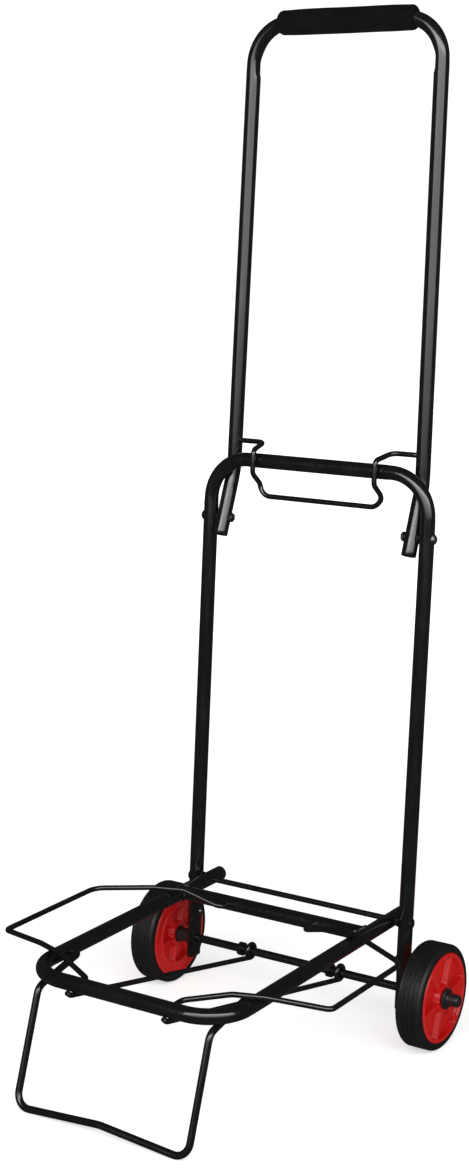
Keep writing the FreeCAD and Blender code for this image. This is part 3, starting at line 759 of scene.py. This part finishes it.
def wingRoute(name, side):
    # From the pin in the crossbar, up and over the side tube, along outside the deck and back over
    # the tube to the pin in the front tube.
    w = wing
    hinge = abs(joints[name + "_wing_flip"][0])
    outer = np.abs(nodeBox("wing_" + name)[:, 0]).max() - w["radius"]
    over = tubeRadius + w["radius"] + w["rise"]
    nest = w["nest"] if side > 0 else 0
    rear = deck["barReach"] + tubeRadius
    front = deck["front"] - tubeRadius
    frontCross = deck["front"] - w["frontCrossBack"] - nest
    rearCross = w["rearCross"] + nest
    near, far = deck["x"] - 2 * tubeRadius, deck["x"] + 2 * tubeRadius
    corners = [(hinge, rear - w["pin"], 0),
               (hinge, rear + w["rearRun"] + nest, 0),
               (near, rearCross - w["slant"], over),
               (far, rearCross + w["slant"], over),
               (outer, w["rearCorner"] + nest, w["outerRise"]),
               (outer, deck["front"] - w["frontCornerBack"] - nest, w["outerRise"]),
               (far, frontCross - w["slant"], over),
               (near, frontCross + w["slant"], over),
               (hinge, front - w["frontRun"] - nest, 0),
               (hinge, front + w["pin"], 0)]
    bends = [w["bend"], w["crossBend"], w["crossBend"], w["cornerBend"], w["bend"],
             w["crossBend"], w["crossBend"], w["frontBend"]]
    return roundedRoute([onDeck(side * x, y, z) for x, y, z in corners], bends, step=10 * mm, arcStep=8)


for name, side in sides:
    piece = wire(name + "_wing_wire", wingRoute(name, side), straightUp, wing["radius"])
    finish(piece, wirePaint, name + "_wing", "black_wire", "wing_" + name)
print("wings done")


stand = {
    "radius": 3.25 * mm,
    "end": nodeBox("stand_wire")[1, 0],
    "half": 90 * mm,
    "footAhead": 31.8 * mm,             # foot in front of the front tube
    "cornerAhead": 8 * mm,
    "rest": 0.3 * mm,                   # gap under the tube that it stops against
    "hookBend": 5 * mm,
    "topBend": 11 * mm,
    "footBend": 13 * mm,
    "middleBend": 40 * mm,
    "middleRise": 7 * mm,
}


def standRoute():
    # The legs slope so that the wire just clears the front tube's bend: the slope's sine is the
    # clearance over the run from the pivot to that point of the bend.
    s = stand
    pivotReach = deckPivot[1] - joints["stand_fold"][1]
    inBend = s["half"] - (deck["x"] - deck["bend"])
    tubeReach = deck["front"] - deck["bend"] + math.sqrt(deck["bend"] ** 2 - inBend ** 2)
    dip = math.asin((tubeRadius + s["radius"] + s["rest"]) / (tubeReach - pivotReach))
    cornerReach = tubeReach + s["cornerAhead"]
    cornerDrop = (cornerReach - pivotReach) * math.tan(dip)
    lift = s["footBend"] * s["middleRise"] / s["half"]      # rounding lifts the foot's corner
    floor = s["radius"] - deckPivot[2] - lift
    foot = deck["front"] + s["footAhead"]
    half = [onDeck(-s["end"], pivotReach), onDeck(-s["half"], pivotReach),
            onDeck(-s["half"], cornerReach, -cornerDrop), onDeck(-s["half"], foot, floor)]
    middle = onDeck(0, foot, floor + s["middleRise"])
    bends = [s["hookBend"], s["topBend"], s["footBend"]]
    return roundedRoute(half + [middle] + mirrored(half), bends + [s["middleBend"]] + bends[::-1],
                        step=8 * mm, arcStep=6)


piece = wire("stand_bent_wire", standRoute(), straightUp, stand["radius"], around=28)
finish(piece, wirePaint, "stand", "black_wire", "stand_wire")
print("stand done")


strut = {
    "radius": 2.5 * mm,
    "eye": 6.56 * mm,                   # radius of the eye's bend round the axle
    "eyeGap": 0.42,                     # left open in the eye, in radians
    "cradleGap": 0.35 * mm,
    "cradle": 38,                       # degrees that the wire curls round the front tube
    "end": 4 * mm,
    "points": 40,                       # in the eye, and along the straight wire
    "curlPoints": 8,
}


def strutRoute(name):
    # A straight wire tangent to the eye below the axle and to a cradle circle below the front tube,
    # which then curls round the tube by the cradle's angle.
    x = joints[name + "_strut_swing"][0]
    axleAt = axlePoint + acrossTruck * x
    tubeAt = onDeck(x, deck["front"])
    cradle = tubeRadius + strut["cradleGap"] + strut["radius"]
    between = tubeAt - axleAt
    slope = (math.atan2(between[2], -between[1])
             + math.asin((strut["eye"] - cradle) / np.linalg.norm(between)))
    ahead = np.array((0, -math.cos(slope), math.sin(slope)))
    below = np.array((0, -math.sin(slope), -math.cos(slope)))
    turn = np.linspace(0, math.radians(strut["cradle"]) - slope, strut["curlPoints"])[:, None]
    curl = tubeAt + cradle * (np.cos(turn) * below + np.sin(turn) * ahead)
    outward = np.cos(turn[-1]) * ahead - np.sin(turn[-1]) * below
    wrap = np.linspace(-2 * math.pi + strut["eyeGap"], 0, strut["points"])[:, None]
    eye = axleAt + strut["eye"] * (np.cos(wrap) * below + np.sin(wrap) * ahead)
    share = np.linspace(0, 1, strut["points"])[1:-1, None]
    straight = eye[-1] + (curl[0] - eye[-1]) * share
    return np.concatenate([eye, straight, curl, curl[-1:] + outward * strut["end"]])


for name, side in sides:
    piece = wire(name + "_strut_wire", strutRoute(name), acrossTruck, strut["radius"])
    finish(piece, wirePaint, name + "_strut", "black_wire", "strut_" + name)
print("struts done")


tyreBox = nodeBox("tyre_right")
rimBox = nodeBox("rim_right")
wheel = {
    "inner": tyreBox[0, 0],             # inner face of the tyre
    "width": tyreBox[1, 0] - tyreBox[0, 0],
    "radius": (tyreBox[1, 2] - tyreBox[0, 2]) / 2,
    "seat": (rimBox[1, 2] - rimBox[0, 2]) / 2,
    "seatRound": 1.2 * mm,              # tyre and rim are both rounded where they meet
    "proud": tyreBox[0, 0] - rimBox[0, 0],      # rim's faces stand this far out of the tyre's sides
}
tyre = {
    "shoulder": 4 * mm,
    "shoulderDrop": 3.5 * mm,
    "seatDip": 0.4 * mm,
    "crown": 0.12 * mm,                 # the tread's middle is this much higher
    "grooves": 3,
    "grooveWidth": 1.1 * mm,
    "grooveDepth": 0.8 * mm,
    "around": 180,
    "shoulderRows": 10,
    "sideRows": 9,
    "treadRows": 145,
}


def tyreProfile():
    # From the rim's seat up the inner side, over the tread and down again. Shoulders are quarter
    # ellipses, and each groove dips as a rounded notch: depth * (1 + cos) / 2 across its width.
    width, radius, seat = wheel["width"], wheel["radius"], wheel["seat"]
    shoulder, drop = tyre["shoulder"], tyre["shoulderDrop"]
    turn = np.radians(np.linspace(0, 90, tyre["shoulderRows"]))
    quarter = np.stack([shoulder * (1 - np.cos(turn)), radius - drop * (1 - np.sin(turn))], -1)
    sideR = np.linspace(seat, radius - drop, tyre["sideRows"])[:-1]
    sideX = tyre["seatDip"] * smooth(seat + wheel["seatRound"], seat, sideR)
    near = np.concatenate([np.stack([sideX, sideR], -1), quarter])
    tread = width - 2 * shoulder
    x = np.linspace(shoulder, width - shoulder, tyre["treadRows"])[1:-1]
    pitch = tread / (tyre["grooves"] + 1)
    away = np.abs((x - shoulder + pitch / 2) % pitch - pitch / 2)
    inside = (x > shoulder + pitch / 2) & (x < width - shoulder - pitch / 2)
    dip = np.where(inside & (away < tyre["grooveWidth"] / 2),
                   (1 + np.cos(2 * math.pi * away / tyre["grooveWidth"])) / 2, 0)
    crown = tyre["crown"] * np.cos((x - width / 2) / tread * math.pi)
    top = np.stack([x, radius - tyre["crown"] + crown - tyre["grooveDepth"] * dip], -1)
    return np.concatenate([near, top, near[::-1] * (-1, 1) + (width, 0)])


def tyreGrid(side):
    profile = tyreProfile()[..., None]
    return turnedGrid(wheel["inner"] + profile[:, 0], profile[:, 1], tyre["around"], side)


rim = {
    "band": 3.2 * mm,                   # between the outer pockets and the tyre
    "innerBand": 13.5 * mm,             # between the inner pockets and the tyre
    "hub": 12 * mm,
    "bore": 8 * mm,
    "boreRound": 0.8 * mm,
    "ribs": 6,
    "ribHalf": 1.6 * mm,                # rib's half width on top
    "draft": 2.4 * mm,                  # width of a pocket's sloping wall
    "depth": 5 * mm,
    "turn": 20,                         # degrees that the ribs are turned towards the back
    "ringDepth": 1.1 * mm,              # shallow ring in the inner face
    "ringInside": 2 * mm,               # its edges, out from the inner band and in from the tyre
    "ringOutside": 3.2 * mm,
    "ringSlope": 1 * mm,
    "lip": 0.5 * mm,
    "around": 432,
    "rows": 76,
}


def pocketDepth(radius, angle, outer):
    # Depth times three ramps: in from the hub, in from the band, and away from the nearest rib,
    # measured square to the rib.
    spacing = 2 * math.pi / rim["ribs"]
    offset = (angle - math.radians(rim["turn"]) + spacing / 2) % spacing - spacing / 2
    beside = radius * np.abs(np.sin(offset))
    return (rim["depth"] * smooth(rim["hub"], rim["hub"] + rim["draft"], radius)
            * (1 - smooth(outer - rim["draft"], outer, radius))
            * smooth(rim["ribHalf"], rim["ribHalf"] + rim["draft"], beside))


def rimGrid(side):
    # Both faces are heights over a polar grid, joined at the bore and at the tyre's seat.
    seat, proud = wheel["seat"], wheel["proud"]
    radius = np.linspace(rim["bore"], seat, rim["rows"])[:, None]
    angle = fullTurn(rim["around"])[None, :]
    edge = (proud * smooth(seat - wheel["seatRound"], seat, radius)
            + rim["lip"] * (1 - smooth(rim["bore"], rim["bore"] + rim["boreRound"], radius)))
    outerFace = wheel["width"] + proud - edge - pocketDepth(radius, angle, seat - rim["band"])
    inner = seat - rim["innerBand"]
    ringIn = smooth(inner + rim["ringInside"], inner + rim["ringInside"] + rim["ringSlope"], radius)
    ringOut = smooth(seat - rim["ringOutside"] - rim["ringSlope"], seat - rim["ringOutside"], radius)
    ring = rim["ringDepth"] * (ringIn * (1 - ringOut))
    innerFace = edge + ring - proud + pocketDepth(radius, angle, inner)
    x = np.concatenate([innerFace, outerFace[::-1]])
    bothWays = np.concatenate([radius, radius[::-1]])
    return turnedGrid(wheel["inner"] + x, bothWays, rim["around"], side)


capBox = nodeBox("axle_cap_right")
cap = {
    "start": capBox[0, 0],
    "length": capBox[1, 0] - capBox[0, 0],
    "radius": (capBox[1, 2] - capBox[0, 2]) / 2,
    "flange": 0.72 * mm,                # extra radius at the foot
    "flangeFade": 1.2 * mm,
    "taper": 0.7 * mm,
    "round": 2.2 * mm,
    "pinhole": 0.05 * mm,               # radius of the first row, which a fan closes
    "around": 64,
    "sideRows": 14,
    "endRows": 8,
}


def capGrid(side):
    # Push-on cap: a foot that flares by flange * exp(-x / fade), sides that draw in slowly by the
    # taper, and a rounded end.
    turn = np.radians(np.linspace(0, 90, cap["endRows"]))
    sideX = np.linspace(0, cap["length"] - cap["round"], cap["sideRows"])[:-1]
    sideR = (cap["radius"] - cap["taper"] * sideX / cap["length"]
             + cap["flange"] * np.exp(-sideX / cap["flangeFade"]))
    endR = sideR[-1] - cap["pinhole"]
    x = np.concatenate([[0], sideX, cap["length"] - cap["round"] * (1 - np.sin(turn))])
    radius = np.concatenate([[cap["pinhole"]], sideR, endR - cap["round"] * (1 - np.cos(turn))])
    return turnedGrid(cap["start"] + x[:, None], radius[:, None], cap["around"], side)


for name, side in sides:
    piece = gridMesh(name + "_tyre_rubber", tyreGrid(side), loop=True)
    finish(piece, tyreBlack, name + "_wheel", "tyre_rubber", "tyre_" + name)
    piece = gridMesh(name + "_rim_disc", rimGrid(side), loop=True)
    finish(piece, redPlastic, name + "_wheel", "red_plastic", "rim_" + name)
    piece = gridMesh(name + "_axle_cap", capGrid(side), poles=True)
    finish(piece, blackPlastic, "frame", "black_plastic", "axle_cap_" + name)
print("wheels done")


camera = {
    "place": (0.9487, -1.4716, 0.7869),
    "turn": 32.699,                     # degrees round the truck from straight in front
    "tilt": 11.114,                     # downwards
    "roll": 0.443,
    "lens": 61.8,
    "sensor": 36,
    "near": 0.05,
    "far": 50,
}


def setCamera():
    view = addObject("camera", bpy.data.cameras.new("camera"))
    view.data.lens = camera["lens"]
    view.data.sensor_width = camera["sensor"]
    view.data.sensor_fit = "AUTO"
    view.data.clip_start = camera["near"]
    view.data.clip_end = camera["far"]
    aim = Euler((math.radians(90 - camera["tilt"]), 0, math.radians(camera["turn"]))).to_matrix()
    roll = Matrix.Rotation(math.radians(camera["roll"]), 3, "Z")
    view.matrix_world = Matrix.Translation(camera["place"]) @ (aim @ roll).to_4x4()
    bpy.context.scene.camera = view


setCamera()
print("camera set")

studio = {
    "floorSize": 12.0,
    "lightWidth": 6.4,                  # soft panels beside the camera, stacked from low to high
    "lightDistance": 2.2,
    "panels": {                         # low edge, high edge, brightness
        "low": (0.50, 0.75, 0.8),
        "middle": (0.75, 1.25, 1.6),
        "upper": (1.25, 1.75, 2.3),
        "high": (1.75, 2.70, 4.6),
    },
    "ambient": 0.25,
    "backdrop": 1.1,                    # what the camera sees past the floor
    "dimRoom": 0.035,                   # what gloss reflects away from the panels
    "floorGlow": (0.55, 1.1),           # painted light: the floor glows, dimmer near the truck and brighter far from it
    "floorGlowFrom": (0.5, 2.0),        # distances between which it rises
    "floorScale": 3,
    "floorColours": ((0.86, 0.86, 0.85), (0.88, 0.88, 0.87)),
    "floorRoughness": 0.9,
    "floorShine": 0.1,
}


def softLight(name, centre, towards, width, height, power):
    lamp = addObject(name, bpy.data.lights.new(name, "AREA"))
    lamp.data.shape = "RECTANGLE"
    lamp.data.size = width
    lamp.data.size_y = height
    lamp.data.energy = power
    lamp.location = centre
    lamp.rotation_euler = (Vector(towards) - Vector(centre)).to_track_quat("-Z", "Y").to_euler()
    lamp.visible_camera = False


def lightPanels():
    # A panel of brightness b gives b * pi * its area in watts.
    turn = math.radians(camera["turn"])
    towardCamera = np.array((math.sin(turn), -math.cos(turn), 0.0))
    width = studio["lightWidth"]
    for name, (bottom, top, brightness) in studio["panels"].items():
        middle = straightUp * ((bottom + top) / 2)
        softLight("panel_" + name, middle + towardCamera * studio["lightDistance"], middle, width,
                  top - bottom, brightness * math.pi * width * (top - bottom))


def paperFloor():
    half = studio["floorSize"] / 2
    corners = [(-half, -half, 0), (half, -half, 0), (half, half, 0), (-half, half, 0)]
    mesh = bpy.data.meshes.new("floor")
    mesh.from_pydata(corners, [], [(0, 1, 2, 3)])
    floor = addObject("floor", mesh)
    material, tree, shader, place = newMaterial("floorPaper")
    tree.links.new(blendColours(tree, noise(tree, place, studio["floorScale"]), *studio["floorColours"]),
                   shader.inputs["Base Color"])
    shader.inputs["Roughness"].default_value = studio["floorRoughness"]
    shader.inputs["Specular IOR Level"].default_value = studio["floorShine"]
    # Painted light: an emission that grows with distance from the truck, so the far floor reads white.
    shader.inputs["Emission Color"].default_value = (1, 1, 1, 1)
    away = tree.nodes.new("ShaderNodeVectorMath")
    away.operation = "LENGTH"
    tree.links.new(place, away.inputs[0])
    tree.links.new(spread(tree, away.outputs["Value"], *studio["floorGlow"], *studio["floorGlowFrom"]),
                   shader.inputs["Emission Strength"])
    mesh.materials.append(material)
    floor.visible_glossy = False
    return floor


def dimWorld():
    # Camera rays see the backdrop, glossy rays the dim room, and all others the ambient light.
    world = bpy.data.worlds.new("studio")
    bpy.context.scene.world = world
    world.use_nodes = True
    tree = world.node_tree
    background = tree.nodes["Background"]
    background.inputs["Color"].default_value = (1, 1, 1, 1)
    rays = tree.nodes.new("ShaderNodeLightPath")
    level = tree.nodes.new("ShaderNodeMix")
    level.inputs["A"].default_value = studio["ambient"]
    level.inputs["B"].default_value = studio["backdrop"]
    tree.links.new(rays.outputs["Is Camera Ray"], level.inputs["Factor"])
    glossy = tree.nodes.new("ShaderNodeMix")
    glossy.inputs["B"].default_value = studio["dimRoom"]
    tree.links.new(rays.outputs["Is Glossy Ray"], glossy.inputs["Factor"])
    tree.links.new(level.outputs["Result"], glossy.inputs["A"])
    tree.links.new(glossy.outputs["Result"], background.inputs["Strength"])


lightPanels()
paperFloor()
dimWorld()
bpy.context.scene.view_settings.view_transform = "Standard"

print("studio ready")
